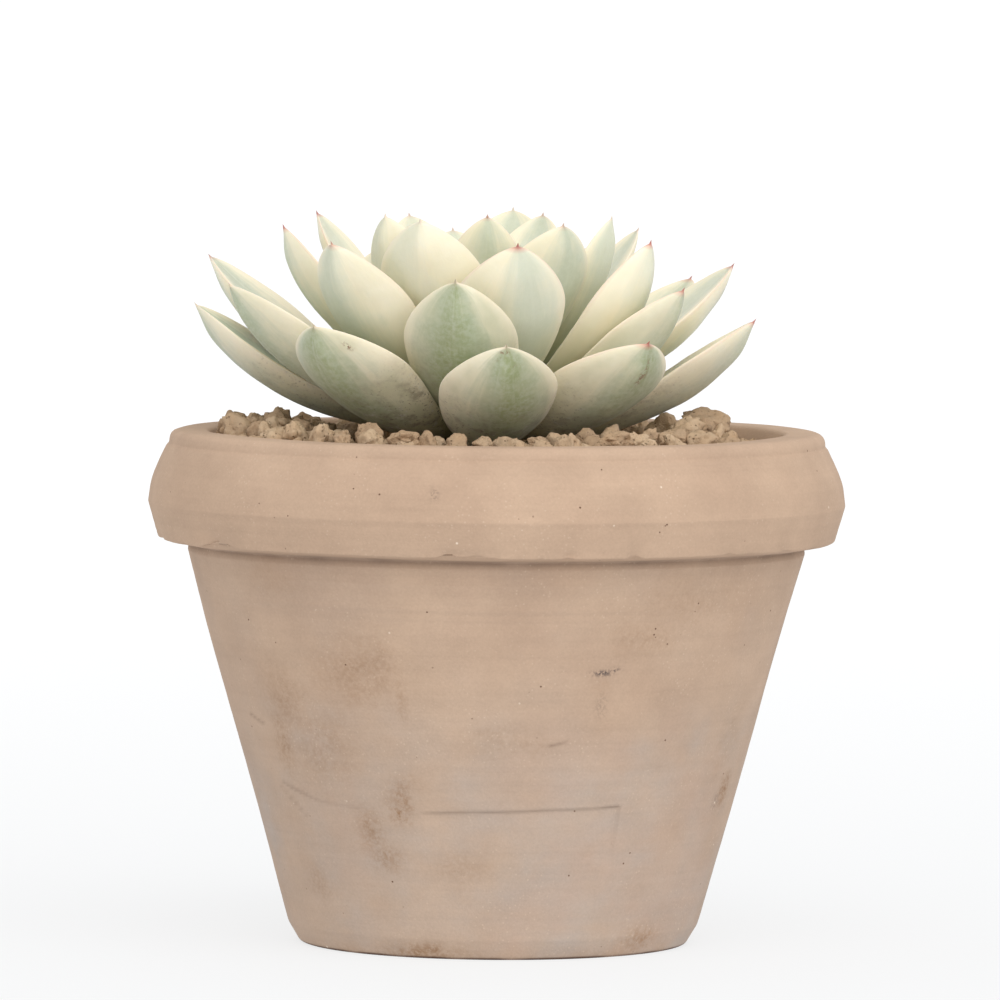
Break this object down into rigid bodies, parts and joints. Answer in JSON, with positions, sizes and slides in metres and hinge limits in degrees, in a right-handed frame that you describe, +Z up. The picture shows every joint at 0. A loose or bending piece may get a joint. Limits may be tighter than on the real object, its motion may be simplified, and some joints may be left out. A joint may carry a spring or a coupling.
{
  "type": "potted succulent",
  "caption": "Rosette succulent with broad pointed fleshy leaves, growing in a tapered unglazed clay pot with a heavy rim, top-dressed with pumice gravel.",
  "frame": {"origin": "centre of the pot's underside, on the surface it stands on", "axes": "+Z up along the pot's axis, -Y the front of the plant, +X to its right"},
  "size_m": [0.18, 0.18, 0.1878],
  "materials": {
    "clay": null,
    "potting_mix": null,
    "pumice": null,
    "stem": "short brown corky succulent stem with leaf scars",
    "leaf": null
  },
  "bodies": {
    "root": {"pot": "clay", "potting_mix": "potting_mix", "gravel_bed": "pumice", "stem": "stem", "pumice_stone_1": "pumice", "pumice_stone_2": "pumice", "pumice_stone_3": "pumice", "pumice_stone_4": "pumice", "pumice_stone_5": "pumice", "pumice_stone_6": "pumice", "pumice_stone_7": "pumice", "pumice_stone_8": "pumice", "leaf_01": "leaf", "leaf_02": "leaf", "leaf_03": "leaf", "leaf_04": "leaf", "leaf_05": "leaf", "leaf_06": "leaf", "leaf_07": "leaf", "leaf_08": "leaf", "leaf_09": "leaf", "leaf_10": "leaf", "leaf_11": "leaf", "leaf_12": "leaf", "leaf_13": "leaf", "leaf_14": "leaf", "leaf_15": "leaf", "leaf_16": "leaf", "leaf_17": "leaf", "leaf_18": "leaf", "leaf_19": "leaf", "leaf_20": "leaf", "leaf_21": "leaf", "leaf_22": "leaf", "leaf_23": "leaf", "leaf_24": "leaf", "leaf_25": "leaf", "leaf_26": "leaf", "leaf_27": "leaf", "leaf_28": "leaf", "leaf_29": "leaf", "leaf_30": "leaf", "leaf_31": "leaf", "leaf_32": "leaf", "leaf_33": "leaf", "leaf_34": "leaf", "leaf_35": "leaf", "leaf_36": "leaf", "leaf_37": "leaf", "leaf_38": "leaf", "leaf_39": "leaf", "leaf_40": "leaf", "leaf_41": "leaf", "leaf_42": "leaf", "leaf_43": "leaf", "leaf_44": "leaf", "leaf_45": "leaf", "leaf_46": "leaf"}
  },
  "joints": []
}
